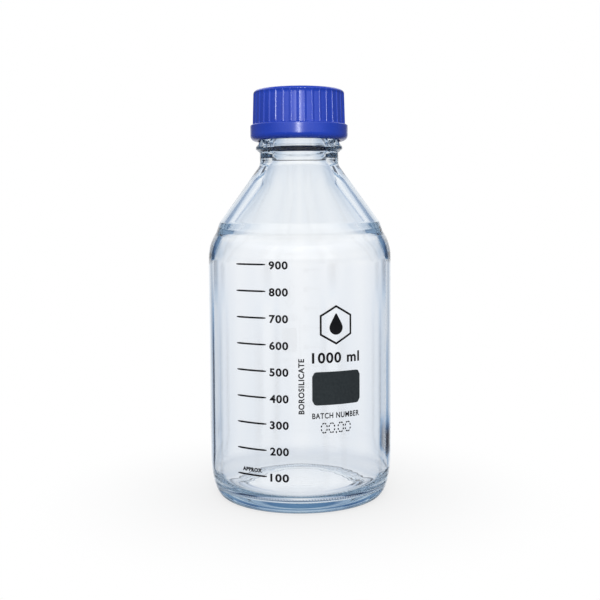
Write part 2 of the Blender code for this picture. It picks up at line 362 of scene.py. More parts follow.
def thread_height(angle, height, start, half_width):
    """How much of a thread ridge's depth stands at this angle and height."""
    best = 0.0
    for lap in range(math.ceil(THREAD_TURNS) + 1):
        turn = angle / (2 * math.pi) + lap
        if turn > THREAD_TURNS:
            continue
        fade = min(1.0, turn / THREAD_RUN_OUT, (THREAD_TURNS - turn) / THREAD_RUN_OUT)
        fade = fade * fade * (3 - 2 * fade)
        best = max(best, fade * smooth_bump(height - start - THREAD_PITCH * turn, half_width))
    return best


# ---------------------------------------------------------------- glass

def inside_profile():
    points = [(radius, FLOOR_CENTRE - fall) for radius, fall in FLOOR_FALL]
    points += arc(INNER_RADIUS - INNER_HEEL_DEPTH, FLOOR_EDGE + INNER_HEEL_HEIGHT,
                  INNER_HEEL_HEIGHT, -90, 0, 18, depth=INNER_HEEL_DEPTH)
    slope_angle = math.degrees(math.atan(INNER_SLOPE))
    wall_meets_cone = INNER_CONE_HEIGHT - (INNER_RADIUS - INNER_CONE_RADIUS) / INNER_SLOPE
    arc_start = wall_meets_cone - fillet_start(INNER_SLOPE, INNER_SHOULDER_ROUND)
    points += arc(INNER_RADIUS - INNER_SHOULDER_ROUND, arc_start, INNER_SHOULDER_ROUND,
                  0, slope_angle, 14)
    cone_meets_bore = INNER_CONE_HEIGHT + (INNER_CONE_RADIUS - BORE_RADIUS) / INNER_SLOPE
    arc_end = cone_meets_bore + fillet_start(INNER_SLOPE, INNER_NECK_ROUND)
    points += arc(BORE_RADIUS + INNER_NECK_ROUND, arc_end, INNER_NECK_ROUND,
                  180 + slope_angle, 180, 16)
    points += arc(BORE_RADIUS + LIP_ROUND, LIP_HEIGHT - LIP_ROUND, LIP_ROUND, 180, 90, 5)
    return refined(points)


def lip_profile():
    points = arc(LIP_RADIUS - LIP_ROUND, LIP_HEIGHT - LIP_ROUND, LIP_ROUND, 90, 0, 5)
    points += [(LIP_RADIUS, LIP_HEIGHT - LIP_LENGTH)]
    return refined(points)


def thread_profile():
    """Close rings from the lip down to the bead, so that the ridge has a smooth section."""
    top = LIP_HEIGHT - LIP_LENGTH - THREAD_BELOW_LIP
    count = round((top - BEAD_FLANK_TOP) / THREAD_RING_STEP)
    return [(THREAD_ROOT_RADIUS, top - (top - BEAD_FLANK_TOP) * index / count)
            for index in range(count + 1)]


def thread_warp(angle, radius, height):
    ridge = thread_height(angle, height, THREAD_START, THREAD_HALF_WIDTH)
    return radius + THREAD_DEPTH * ridge, height


def cone_point(height):
    """A point of the straight cone above the shoulder."""
    return CONE_RADIUS + CONE_SLOPE * (CONE_HEIGHT - height), height


def outer_profile():
    """From the end of the thread over the bead, neck, cone and wall, and into the heel."""
    points = [(THREAD_ROOT_RADIUS + 0.25, BEAD_FLANK_TOP - 0.35)]
    points += arc(BEAD_RADIUS - BEAD_ROUND, BEAD_HEIGHT, BEAD_ROUND, 58, -75, 14)
    points += arc(NECK_RADIUS + NECK_TOP_ROUND, NECK_TOP - 0.1, NECK_TOP_ROUND, 105, 180, 6)
    neck_meets_cone = CONE_HEIGHT + (CONE_RADIUS - NECK_RADIUS) / CONE_SLOPE
    slope_angle = math.degrees(math.atan(CONE_SLOPE))
    fillet_top = neck_meets_cone + fillet_start(CONE_SLOPE, NECK_FILLET)
    points += arc(NECK_RADIUS + NECK_FILLET, fillet_top, NECK_FILLET, 180, 180 + slope_angle, 10)
    shoulder = arc(BODY_RADIUS - SHOULDER_ROUND, SHOULDER_START, SHOULDER_ROUND,
                   SHOULDER_ANGLE, 0, 18)
    corner, foot = cone_point(MOULD_BAND_TOP), (MOULD_BAND_RADIUS, MOULD_BAND_BOTTOM)
    band = [cone_point(MOULD_BAND_TOP + 1.2), corner, between(corner, foot, 0.3),
            between(corner, foot, 0.7), foot, between(foot, shoulder[0], 0.1), shoulder[0]]
    points += softened(band) + shoulder[1:]
    points += heel(0, HEEL_SPLIT, 22)
    return refined(points)


def base_ring_profile():
    """The last of the heel, and the flat ring that the bottle stands on."""
    points = heel(HEEL_SPLIT + HEEL_STEP, 1.0, 4)
    count = 5
    outer = points[-1][0]
    points += [(outer + (BASE_RING_INNER - outer) * step / count, 0.0)
               for step in range(1, count + 1)]
    return points


def knurl_warp(angle, radius, height):
    """Radial teeth pressed up into the base ring; their crests stay on the floor."""
    tooth = 0.5 - 0.5 * math.cos(KNURL_COUNT * angle)
    outer = BODY_RADIUS - HEEL_DEPTH
    across = (radius - BASE_RING_INNER) / (outer - BASE_RING_INNER)
    fade = max(0.0, min(1.0, KNURL_FADE * across, KNURL_FADE * (KNURL_REACH - across)))
    return radius, height + KNURL_DEPTH * tooth * fade


def punt_profile():
    """From the base ring over a small step to the hollow middle of the underside."""
    points = [(BASE_RING_INNER - 1.2, 0.6), (BASE_RING_INNER - 3.0, 1.0)]
    points += [(BASE_STEP_RADIUS + 0.6, BASE_STEP_HEIGHT - 0.35),
               (BASE_STEP_RADIUS, BASE_STEP_HEIGHT - 0.2),
               (BASE_STEP_RADIUS - 0.8, BASE_STEP_HEIGHT + 0.5),
               (BASE_STEP_RADIUS - 2.0, BASE_STEP_HEIGHT + 0.6)]
    points += [(20.0, PUNT_HEIGHT - 0.2), (10.0, PUNT_HEIGHT - 0.05), (0.0, PUNT_HEIGHT)]
    return refined(points)


def make_bottle():
    knurl_segments = KNURL_COUNT * KNURL_SAMPLES
    bands = [(inside_profile(), GLASS_SEGMENTS, None),
             (lip_profile(), GLASS_SEGMENTS, None),
             (thread_profile(), GLASS_SEGMENTS, thread_warp),
             (outer_profile(), GLASS_SEGMENTS, None),
             (base_ring_profile(), knurl_segments, knurl_warp),
             (punt_profile(), GLASS_SEGMENTS, None)]
    bottle = turned("bottle_glass", bands)
    finish_piece(bottle, glass_material(), "bottle_glass", "bottle", "bottle")


# ---------------------------------------------------------------- plastic pieces

def rib_warp(angle, radius, height):
    """Narrow grip ribs with round crests, which fade out into the top rim."""
    top_fade = min(1.0, max(0.0, (CAP_TOP - RIB_TOP_GAP - height) / RIB_TOP_FADE))
    place = (angle + math.pi / 2) * RIB_COUNT / (2 * math.pi) + RIB_PHASE
    from_crest = abs((place + 0.5) % 1.0 - 0.5)
    rise = smooth_bump(from_crest, RIB_SHARE / 2)
    return radius - RIB_DEPTH * (1 - rise) * top_fade, height


def cap_thread_warp(angle, radius, height):
    """The cap's ridge runs midway between two turns of the neck's."""
    start = THREAD_START - THREAD_PITCH / 2
    ridge = thread_height(angle, height, start, CAP_THREAD_HALF_WIDTH)
    return radius - CAP_THREAD_DEPTH * ridge, height


def cap_top_profile():
    """The dished top, out to the beginning of its rim's rounding."""
    dish = CAP_TOP - CAP_DISH_DEPTH
    points = [(0.0, dish), (CAP_DISH_RADIUS, dish), (CAP_DISH_RADIUS + 0.7, CAP_TOP - 0.05),
              (CAP_DISH_RADIUS + 1.1, CAP_TOP)]
    points += arc(GRIP_TOP_RADIUS - CAP_TOP_ROUND, GRIP_TOP, CAP_TOP_ROUND, 90, 50, 5)
    return refined(points)


def cap_grip_profile():
    """The rest of the rounding, and the ribbed side down to the band."""
    points = arc(GRIP_TOP_RADIUS - CAP_TOP_ROUND, GRIP_TOP, CAP_TOP_ROUND, 44, 0, 8)
    grip_bottom = BAND_TOP + 0.2
    for ring in range(1, CAP_GRIP_RINGS + 1):
        share = ring / CAP_GRIP_RINGS
        points.append((CAP_RIB_RADIUS - CAP_DRAFT * (1 - share),
                       GRIP_TOP + (grip_bottom - GRIP_TOP) * share))
    return points


def cap_band_profile():
    """The smooth band below the grip, and the lower edge into the cap."""
    points = [(CAP_RIB_RADIUS + 0.1, BAND_TOP + 0.05), (CAP_RIB_RADIUS + 0.3, BAND_TOP)]
    points += arc(BAND_RADIUS - BAND_TOP_ROUND, BAND_TOP - BAND_TOP_ROUND, BAND_TOP_ROUND,
                  80, 0, 5)
    points += arc(BAND_RADIUS - BAND_ROUND_ACROSS, CAP_BOTTOM + BAND_ROUND_HEIGHT,
                  BAND_ROUND_HEIGHT, 0, -90, 10, depth=BAND_ROUND_ACROSS)
    points += arc(CAP_WALL_INNER + CAP_WALL_ROUND, CAP_BOTTOM + CAP_WALL_ROUND, CAP_WALL_ROUND,
                  -90, -180, 3)
    return refined(points)


def cap_wall_profile():
    """Close rings up the inner wall, so that its ridge has a smooth section."""
    bottom = CAP_BOTTOM + 0.9
    top = CAP_CEILING - 0.6
    count = round((top - bottom) / CAP_WALL_RING_STEP)
    return [(CAP_WALL_INNER, bottom + (top - bottom) * index / count)
            for index in range(count + 1)]


def cap_ceiling_profile():
    points = arc(CAP_WALL_INNER - CAP_WALL_ROUND, CAP_CEILING - CAP_WALL_ROUND, CAP_WALL_ROUND,
                 10, 90, 4)
    return refined(points + [(0.0, CAP_CEILING)])


def make_cap():
    segments = RIB_COUNT * CAP_SAMPLES
    bands = [(cap_top_profile(), segments, None),
             (cap_grip_profile(), segments, rib_warp),
             (cap_band_profile(), segments, None),
             (cap_wall_profile(), segments, cap_thread_warp),
             (cap_ceiling_profile(), segments, None)]
    cap = turned("screw_cap_shell", bands)
    cap.data.set_sharp_from_angle(angle=SHARP_ANGLE)
    finish_piece(cap, cap_material(), "cap_plastic", "cap", "screw_cap")


def make_seal():
    rim = SEAL_RADIUS - SEAL_ROUND
    groove = SEAL_BOTTOM + SEAL_GROOVE_DEPTH
    points = [(0.0, SEAL_TOP), (rim, SEAL_TOP)]
    points += arc(rim, SEAL_TOP - SEAL_ROUND, SEAL_ROUND, 90, 0, 4)
    points += arc(rim, SEAL_BOTTOM + SEAL_ROUND, SEAL_ROUND, 0, -90, 4)
    points += [(SEAL_GROOVE_OUTER, SEAL_BOTTOM), (SEAL_GROOVE_OUTER - SEAL_GROOVE_SIDE, groove),
               (SEAL_GROOVE_INNER + SEAL_GROOVE_SIDE, groove), (SEAL_GROOVE_INNER, SEAL_BOTTOM),
               (0.0, SEAL_BOTTOM)]
    seal = turned("liner_disc", [(refined(points), SMALL_SEGMENTS, None)])
    seal.data.set_sharp_from_angle(angle=SHARP_ANGLE)
    finish_piece(seal, liner_material(), "seal_liner", "seal", "cap_seal")


def make_pouring_ring():
    """A skirt outside the lip and a plug inside it, joined over the top of the lip."""
    skirt_inner = LIP_RADIUS + RING_GAP
    skirt_bottom = LIP_HEIGHT - RING_SKIRT
    plug_outer = BORE_RADIUS - RING_GAP
    bridge = LIP_HEIGHT + RING_GAP
    foot = RING_BOTTOM + RING_FOOT_ROUND
    points = arc(RING_BORE + RING_ROUND, RING_TOP - RING_ROUND, RING_ROUND, 180, 90, 4)
    points += arc(RING_RADIUS - RING_ROUND, RING_TOP - RING_ROUND, RING_ROUND, 90, 0, 4)
    points += arc(RING_RADIUS - RING_SKIRT_ROUND, skirt_bottom + RING_SKIRT_ROUND,
                  RING_SKIRT_ROUND, 0, -90, 3)
    points += [(skirt_inner, skirt_bottom), (skirt_inner, bridge)]
    points += [(plug_outer, bridge), (plug_outer, foot)]
    points += arc(RING_BORE + RING_FOOT_ROUND, foot, RING_FOOT_ROUND, -90, -180, 3)
    ring = turned("drip_ring", [(refined(points), SMALL_SEGMENTS, None)], loop=True)
    ring.data.set_sharp_from_angle(angle=SHARP_ANGLE)
    finish_piece(ring, ring_material(), "ring_plastic", "bottle", "pouring_ring")


# ---------------------------------------------------------------- print

def wrap(mesh, centre_angle, centre_height, turn=0.0):
    """Lays a flat print, in metres about its own origin, round the bottle's wall."""
    cosine, sine = math.cos(turn), math.sin(turn)
    for vertex in mesh.vertices:
        across = vertex.co.x * cosine - vertex.co.y * sine
        up = vertex.co.x * sine + vertex.co.y * cosine
        angle = math.radians(centre_angle) + across / (PRINT_RADIUS * MM)
        out = PRINT_RADIUS * MM + vertex.co.z + PRINT_THICKNESS * MM / 2
        vertex.co = (out * math.sin(angle), -out * math.cos(angle), centre_height * MM + up)


def solid_from_curve(curve):
    """A closed mesh from a filled, extruded flat curve."""
    guide = new_object("print_guide", curve)
    bpy.context.view_layer.update()
    evaluated = guide.evaluated_get(bpy.context.evaluated_depsgraph_get())
    mesh = bpy.data.meshes.new_from_object(evaluated)
    bpy.data.objects.remove(guide, do_unlink=True)
    clean_up(mesh, merge_distance=0.000001)
    return mesh


def text_mesh(words, cap_height, width, weight):
    """Flat lettering centred on its own origin and fitted to a cap height and a width."""
    curve = bpy.data.curves.new("words", "FONT")
    curve.body = words
    curve.size = 1.0
    curve.offset = weight
    curve.space_character = LETTER_SPACING
    curve.extrude = LETTER_EXTRUDE
    curve.resolution_u = 5
    mesh = solid_from_curve(curve)
    across = [vertex.co.x for vertex in mesh.vertices]
    up = [vertex.co.y for vertex in mesh.vertices]
    across_scale = width * MM / (max(across) - min(across))
    up_scale = cap_height * MM / (max(up) - min(up))
    middle_across = (max(across) + min(across)) / 2
    middle_up = (max(up) + min(up)) / 2
    for vertex in mesh.vertices:
        vertex.co.x = (vertex.co.x - middle_across) * across_scale
        vertex.co.y = (vertex.co.y - middle_up) * up_scale
        vertex.co.z *= PRINT_THICKNESS * MM / (2 * LETTER_EXTRUDE)
    return mesh


def outline_mesh(outlines):
    """A flat print from closed outlines, in millimetres; an outline inside another is a hole."""
    curve = bpy.data.curves.new("outline", "CURVE")
    curve.dimensions = "2D"
    curve.fill_mode = "BOTH"
    curve.extrude = PRINT_THICKNESS * MM / 2
    for outline in outlines:
        spline = curve.splines.new("POLY")
        spline.use_cyclic_u = True
        spline.points.add(len(outline) - 1)
        for point, (across, up) in zip(spline.points, outline):
            point.co = (across * MM, up * MM, 0.0, 1.0)
    return solid_from_curve(curve)


def joined(name, meshes):
    """One object from several meshes."""
    work = bmesh.new()
    for mesh in meshes:
        work.from_mesh(mesh)
        bpy.data.meshes.remove(mesh)
    result = bpy.data.meshes.new(name)
    work.to_mesh(result)
    work.free()
    return new_object(name, result)


def make_numerals(enamel):
    """One number beside each mark of the scale."""
    meshes = []
    for mark in range(1, MARK_COUNT + 1):
        volume = MARK_VOLUME * mark
        low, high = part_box("graduation_%d" % volume)
        height = (low.z + high.z) / 2 / MM - NUMERAL_DROP
        mesh = text_mesh(str(volume), NUMERAL_HEIGHT, NUMERAL_WIDTH, NUMERAL_WEIGHT)
        wrap(mesh, NUMERAL_ANGLE, height)
        meshes.append(mesh)
    finish_piece(joined("scale_numerals", meshes), enamel, "black_enamel", "bottle")


def make_words(enamel):
    """Each row: name, words, cap height, width, angle and height of the place, turn, weight."""
    pieces = (("capacity", "1000 ml", 5.6, 26.8, 21.9, 82.8, 0.0, 0.03),
              ("approx", "APPROX", 2.2, 11.9, -30.1, 23.8, 0.0, 0.06),
              ("batch_caption", "BATCH NUMBER", 3.0, 26.6, 21.8, 52.9, 0.0, 0.024),
              ("glass_type", "BOROSILICATE", 3.1, 28.5, 0.5, 68.3, math.pi / 2, 0.03))
    for name, words, cap_height, width, angle, height, turn, weight in pieces:
        mesh = text_mesh(words, cap_height, width, weight)
        wrap(mesh, angle, height, turn)
        finish_piece(joined("print_" + name, [mesh]), enamel, "black_enamel", "bottle")


def polygon(count, radius, start, pieces_per_side):
    """A regular polygon, whose sides have points enough to follow the glass round."""
    corners = [(radius * math.cos(start + 2 * math.pi * corner / count),
                radius * math.sin(start + 2 * math.pi * corner / count))
               for corner in range(count)]
    points = []
    for corner in range(count):
        (x0, y0), (x1, y1) = corners[corner], corners[(corner + 1) % count]
        for step in range(pieces_per_side):
            share = step / pieces_per_side
            points.append((x0 + (x1 - x0) * share, y0 + (y1 - y0) * share))
    return points


def droplet(radius, tip, steps=28):
    """A drop: a circle whose top is drawn out to a point."""
    points = []
    for step in range(steps):
        angle = -math.pi / 2 + 2 * math.pi * step / steps
        pull = max(0.0, math.sin(angle)) ** 3
        points.append((radius * math.cos(angle) * (1 - DROP_PINCH * pull),
                       radius * math.sin(angle) + (tip - radius) * pull))
    return points


def make_emblem(enamel):
    """A plain pictogram: a drop in a hexagon."""
    hexagon = [polygon(6, radius, math.pi / 2, 8) for radius in (HEXAGON_OUTER, HEXAGON_INNER)]
    drop = [(across, up - DROP_LOWERED) for across, up in droplet(DROP_RADIUS, DROP_TIP)]
    meshes = [outline_mesh(hexagon), outline_mesh([drop])]
    for mesh in meshes:
        wrap(mesh, *EMBLEM_PLACE)
    finish_piece(joined("print_emblem", meshes), enamel, "black_enamel", "bottle")


def make_batch_code(enamel):
    """Dashed noughts in two pairs with a stop between them, as an ink-jet coder leaves them."""
    dashes = []
    for shift in DIGIT_SHIFTS:
        for dash in range(DIGIT_DASHES):
            turn = 2 * math.pi * (dash + 0.5) / DIGIT_DASHES
            dashes.append((shift + DIGIT_WIDTH / 2 * math.cos(turn) * DIGIT_SQUEEZE,
                           DIGIT_HEIGHT / 2 * math.sin(turn), turn))
    dashes.append((0.0, -DIGIT_HEIGHT / 2, 0.0))
    corners = [(-DASH_LENGTH / 2, -DASH_WIDTH / 2), (DASH_LENGTH / 2, -DASH_WIDTH / 2),
               (DASH_LENGTH / 2, DASH_WIDTH / 2), (-DASH_LENGTH / 2, DASH_WIDTH / 2)]
    meshes = []
    for across, up, turn in dashes:
        along = math.atan2(DIGIT_HEIGHT * math.cos(turn), -DIGIT_WIDTH * math.sin(turn))
        outline = [(across + x * math.cos(along) - y * math.sin(along),
                    up + x * math.sin(along) + y * math.cos(along)) for x, y in corners]
        meshes.append(outline_mesh([outline]))
    for mesh in meshes:
        wrap(mesh, *BATCH_PLACE)
    finish_piece(joined("print_batch_code", meshes), enamel, "black_enamel", "bottle")


# ---------------------------------------------------------------- materials

NOISE_LOW = 0.3                 # most of a noise texture's values lie between these two
NOISE_HIGH = 0.7


def new_material(name, colour, roughness):
    material = bpy.data.materials.new(name)
    material.use_nodes = True
    tree = material.node_tree
    shader = tree.nodes["Principled BSDF"]
    shader.inputs["Base Color"].default_value = (*colour, 1.0)
    shader.inputs["Roughness"].default_value = roughness
    return material, tree, shader


def noise(tree, scale, detail=3.0):
    """Fine variation over a piece, in its own coordinates."""
    place = tree.nodes.new("ShaderNodeTexCoord")
    texture = tree.nodes.new("ShaderNodeTexNoise")
    texture.inputs["Scale"].default_value = scale
    texture.inputs["Detail"].default_value = detail
    tree.links.new(place.outputs["Object"], texture.inputs["Vector"])
    return texture.outputs["Fac"]


def ranged(tree, value, low, high):
    """Stretches a noise value to run from low to high."""
    node = tree.nodes.new("ShaderNodeMapRange")
    node.inputs["From Min"].default_value = NOISE_LOW
    node.inputs["From Max"].default_value = NOISE_HIGH
    node.inputs["To Min"].default_value = low
    node.inputs["To Max"].default_value = high
    tree.links.new(value, node.inputs["Value"])
    return node.outputs["Result"]


def add_bump(tree, shader, value, strength, distance):
    bump = tree.nodes.new("ShaderNodeBump")
    bump.inputs["Strength"].default_value = strength
    bump.inputs["Distance"].default_value = distance
    tree.links.new(value, bump.inputs["Height"])
    tree.links.new(bump.outputs["Normal"], shader.inputs["Normal"])


def varied_colour(tree, shader, value, first, second):
    mix = tree.nodes.new("ShaderNodeMix")
    mix.data_type = "RGBA"
    mix.inputs["A"].default_value = (*first, 1.0)
    mix.inputs["B"].default_value = (*second, 1.0)
    tree.links.new(ranged(tree, value, 0.0, 1.0), mix.inputs["Factor"])
    tree.links.new(mix.outputs["Result"], shader.inputs["Base Color"])


def glass_material():
    material, tree, shader = new_material("clear_borosilicate", (0.985, 0.99, 0.995), 0.0)
    shader.inputs["Transmission Weight"].default_value = 1.0
    shader.inputs["IOR"].default_value = 1.473
    add_bump(tree, shader, noise(tree, 26.0, detail=1.0), strength=0.06, distance=0.0006)
    absorption = tree.nodes.new("ShaderNodeVolumeAbsorption")
    absorption.inputs["Color"].default_value = (0.36, 0.56, 0.70, 1.0)
    absorption.inputs["Density"].default_value = 14.0
    output = tree.nodes["Material Output"]
    tree.links.new(absorption.outputs[0], output.inputs["Volume"])
    return material


def cap_material():
    material, tree, shader = new_material("blue_polypropylene", (0.02, 0.035, 0.5), 0.36)
    varied_colour(tree, shader, noise(tree, 60.0), (0.011, 0.046, 0.42), (0.015, 0.056, 0.48))
    grain = noise(tree, 900.0, detail=4.0)
    tree.links.new(ranged(tree, grain, 0.20, 0.28), shader.inputs["Roughness"])
    add_bump(tree, shader, noise(tree, 2400.0, detail=2.0), strength=0.12, distance=0.00005)
    return material


def ring_material():
    material, tree, shader = new_material("blue_polypropylene_ring", (0.03, 0.06, 0.5), 0.3)
    varied_colour(tree, shader, noise(tree, 90.0), (0.012, 0.034, 0.38), (0.016, 0.04, 0.44))
    grain = noise(tree, 900.0, detail=4.0)
    tree.links.new(ranged(tree, grain, 0.26, 0.36), shader.inputs["Roughness"])
    add_bump(tree, shader, noise(tree, 2600.0, detail=2.0), strength=0.08, distance=0.00004)
    return material


def liner_material():
    material, tree, shader = new_material("white_liner", (0.78, 0.77, 0.74), 0.5)
    varied_colour(tree, shader, noise(tree, 120.0), (0.74, 0.73, 0.70), (0.82, 0.81, 0.78))
    tree.links.new(ranged(tree, noise(tree, 700.0), 0.42, 0.58), shader.inputs["Roughness"])
    add_bump(tree, shader, noise(tree, 1800.0), strength=0.2, distance=0.00008)
    return material


def enamel_material(name, first, second, roughness):
    material, tree, shader = new_material(name, first, roughness)
    shader.inputs["Specular IOR Level"].default_value = 0.2
    varied_colour(tree, shader, noise(tree, 800.0, detail=4.0), first, second)
    tree.links.new(ranged(tree, noise(tree, 2000.0), roughness - 0.08, roughness + 0.1),
                   shader.inputs["Roughness"])
    add_bump(tree, shader, noise(tree, 5000.0), strength=0.2, distance=0.00003)
    return material


def dress_cad_prints(black, grey):
    """The scale's marks and the marking field keep their CAD meshes and get fired enamel."""
    for name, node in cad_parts.items():
        if name.startswith("graduation_") or name == "marking_field":
            node.data.materials.clear()
            node.data.materials.append(grey if name == "marking_field" else black)


# ---------------------------------------------------------------- stage

# Camera, in metres
CAMERA_DISTANCE = 0.550
CAMERA_HEIGHT = 0.1567
CAMERA_SIDE = 0.0003
CAMERA_PITCH = 3.65             # degrees below the level
CAMERA_ROLL = 0.35              # degrees; the bottle leans a little to the left in view
CAMERA_SHIFT = -0.0395
LENS = 59.2
SENSOR = 36.0

# Strengths of the world's parts
SKY_LIGHT = 0.75
UNDER_LIGHT = 0.06
ROOM_LIGHT = 0.2
WALL_LIGHT = 0.75
FRONT_LIGHT = 1.6
RING_LIGHT = 1.2
COOL_WHITE = (0.97, 0.98, 1.0)
SCATTER_SHADE = 0.85            # share of the panels' light that plastic and print don't get
LIT_EDGE = 0.7                  # share of the wall's gap that is lit on the right-hand side

# Floor, in metres
PAPER_RADIUS = 0.22
PAPER_DROP = 0.0001             # below the bottle's foot, so that the two never coincide
SHADOW_INNER = 0.03             # the paper takes most shadow up to this radius,
SHADOW_OUTER = 0.16             # and none from this one on
SHADOW_GLOW = 0.72              # share of plain white glow where it takes most


def make_camera():
    data = bpy.data.cameras.new("camera")
    data.lens = LENS
    data.sensor_width = SENSOR
    data.shift_y = CAMERA_SHIFT
    data.clip_start = 0.01
    camera = new_object("camera", data)
    camera.location = (CAMERA_SIDE, -CAMERA_DISTANCE, CAMERA_HEIGHT)
    camera.rotation_euler = (math.radians(90 - CAMERA_PITCH), math.radians(CAMERA_ROLL), 0.0)
    bpy.context.scene.camera = camera


def math_node(tree, operation, first, second=None):
    """The output of a maths node, whose inputs are numbers or other nodes' outputs."""
    node = tree.nodes.new("ShaderNodeMath")
    node.operation = operation
    for socket, value in zip(node.inputs, (first, second)):
        if value is None:
            continue
        if isinstance(value, (int, float)):
            socket.default_value = value
        else:
            tree.links.new(value, socket)
    return node.outputs[0]


def smooth_step(tree, value, low, high):
    """0 below low, 1 above high, smooth between them; low may be the larger."""
    node = tree.nodes.new("ShaderNodeMapRange")
    node.interpolation_type = "SMOOTHSTEP"
    node.inputs["From Min"].default_value = low
    node.inputs["From Max"].default_value = high
    tree.links.new(value, node.inputs["Value"])
    return node.outputs["Result"]


def window(tree, value, low, high, soft):
    """1 from low to high and 0 outside, with edges that change over twice soft."""
    rise = smooth_step(tree, value, low - soft, low + soft)
    fall = smooth_step(tree, value, high + soft, high - soft)
    return math_node(tree, "MULTIPLY", rise, fall)


def colour_ramp(tree, value, stops):
    """A colour that runs through stops of (position, colour), in rising order."""
    ramp = tree.nodes.new("ShaderNodeValToRGB")
    elements = ramp.color_ramp.elements
    while len(elements) < len(stops):
        elements.new(0.5)
    for element, (position, colour) in zip(elements, stops):
        element.position = position
        element.color = (*colour, 1.0)
    tree.links.new(value, ramp.inputs["Fac"])
    return ramp.outputs["Color"]


def mixed(tree, first, second, share=None, blend="MIX"):
    """Blends two colour outputs, wholly or by the share that another output gives."""
    mix = tree.nodes.new("ShaderNodeMix")
    mix.data_type = "RGBA"
    mix.blend_type = blend
    mix.inputs["Factor"].default_value = 1.0
    if share:
        tree.links.new(share, mix.inputs["Factor"])
    tree.links.new(first, mix.inputs["A"])
    tree.links.new(second, mix.inputs["B"])
    return mix.outputs["Result"]


def gap_colours(tree, azimuth, elevation, eighth, under):
    """Dark gaps between the panels; where two of them meet, the darker one is seen."""
    quarter = math_node(tree, "PINGPONG", azimuth, 45.0)
    lit_edge = math_node(tree, "MULTIPLY", window(tree, azimuth, 20.0, 46.0, 2.0),
                         smooth_step(tree, elevation, -13.5, -10.5))
    wall_gap = math_node(tree, "SUBTRACT", smooth_step(tree, elevation, -3.0, -9.0),
                         math_node(tree, "MULTIPLY", lit_edge, LIT_EDGE))
    base_gap = math_node(tree, "MULTIPLY", window(tree, elevation, -50.0, -33.0, 2.0), under)
    gaps = (
        # the wall's edges
        (window(tree, quarter, 28.5, 36.5, 1.5), wall_gap, 1.0),
        # the bore's sides
        (smooth_step(tree, quarter, 37.0, 40.0), window(tree, elevation, -4.5, 12.0, 1.5), 1.0),
        # the shoulder
        (window(tree, quarter, 20.0, 36.0, 2.0), window(tree, elevation, 11.0, 15.0, 2.0), 0.8),
        # the lower right edge
        (window(tree, azimuth, 12.5, 40.0, 1.5), window(tree, elevation, -27.0, -12.0, 0.8), 1.0),
        # the knurled base, where the light from below is broken into short dashes
        (smooth_step(tree, eighth, 5.0, 13.0), base_gap, 0.8))
    darkest = 0.0
    for around, upright, strength in gaps:
        gap = math_node(tree, "MULTIPLY", math_node(tree, "MULTIPLY", around, upright), strength)
        darkest = math_node(tree, "MAXIMUM", gap, darkest)
    return colour_ramp(tree, darkest,
                       ((0.0, (1.0, 1.0, 1.0)), (0.4, (0.36, 0.56, 0.78)),
                        (0.75, (0.03, 0.13, 0.28)), (1.0, (0.0, 0.01, 0.035))))


def level_colours(tree, elevation, under):
    """The panels from straight below, at 0 on the ramps, to straight above, at 1."""
    height = math_node(tree, "ADD", math_node(tree, "DIVIDE", elevation, 180.0), 0.5)
    open_floor = colour_ramp(tree, height,
                             ((0.0, (0.92, 0.93, 0.94)), (0.25, (0.84, 0.86, 0.89)),
                              (0.37, (0.78, 0.81, 0.86)), (0.42, (0.91, 0.93, 0.96)),
                              (0.49, (1.0, 1.0, 1.01)), (0.57, (1.05, 1.04, 1.03)),
                              (1.0, (0.96, 0.96, 0.97))))
    under_base = colour_ramp(tree, height,
                             ((0.0, (0.92, 0.93, 0.94)), (0.21, (0.86, 0.87, 0.90)),
                              (0.25, (0.20, 0.30, 0.42)), (0.32, (0.10, 0.20, 0.34)),
                              (0.345, (0.50, 0.60, 0.72)), (0.42, (0.88, 0.91, 0.95)),
                              (0.57, (1.05, 1.04, 1.03)), (0.584, (0.26, 0.41, 0.59)),
                              (0.605, (0.20, 0.35, 0.53)), (0.625, (1.0, 1.0, 1.0)),
                              (1.0, (0.96, 0.96, 0.97))))
    return mixed(tree, open_floor, under_base, share=under)


def panels_behind(tree, azimuth, elevation, surfaces_crossed):
    """What the glass bends into view: white panels with dark gaps between them.

    Most gaps repeat every 90 degrees round the bottle, and draw the dark lines along the
    edges of its wall, its neck and its shoulder. Azimuth is 0 along +Y, and 90 along +X.
    Light that has crossed only two surfaces, as in the base, shows the shade under the base.
    """
    eighth = math_node(tree, "PINGPONG", azimuth, 22.5)
    under = smooth_step(tree, surfaces_crossed, 4.0, 2.0)
    sides = colour_ramp(tree, math_node(tree, "DIVIDE", eighth, 22.5),
                        ((0.0, (1.0, 1.0, 1.0)), (0.36, (0.95, 0.96, 0.975)),
                         (0.62, (0.72, 0.78, 0.86)), (1.0, (0.58, 0.66, 0.77))))
    panels = mixed(tree, sides, level_colours(tree, elevation, under), blend="MULTIPLY")
    return mixed(tree, panels, gap_colours(tree, azimuth, elevation, eighth, under),
                 blend="MULTIPLY")


def mirrored_room(tree, azimuth, elevation):
    """Brightness of what the glass and the cap mirror: a dim room, a wall behind the bottle,
    a soft light in front of the cap and a soft ring of light above."""
    from_back = math_node(tree, "ABSOLUTE", azimuth)
    wall = math_node(tree, "MULTIPLY", smooth_step(tree, from_back, 34.0, 18.0),
                     window(tree, elevation, -24.0, 30.0, 6.0))
    front = math_node(tree, "MULTIPLY", smooth_step(tree, from_back, 95.0, 165.0),
                      window(tree, elevation, 2.5, 34.0, 3.0))
    ring = window(tree, elevation, 22.0, 46.0, 8.0)
    brightness = math_node(tree, "MULTIPLY", wall, WALL_LIGHT)
    for part, strength in ((front, FRONT_LIGHT), (ring, RING_LIGHT)):
        brightness = math_node(tree, "ADD", brightness,
                               math_node(tree, "MULTIPLY", part, strength))
    return math_node(tree, "ADD", brightness, ROOM_LIGHT)


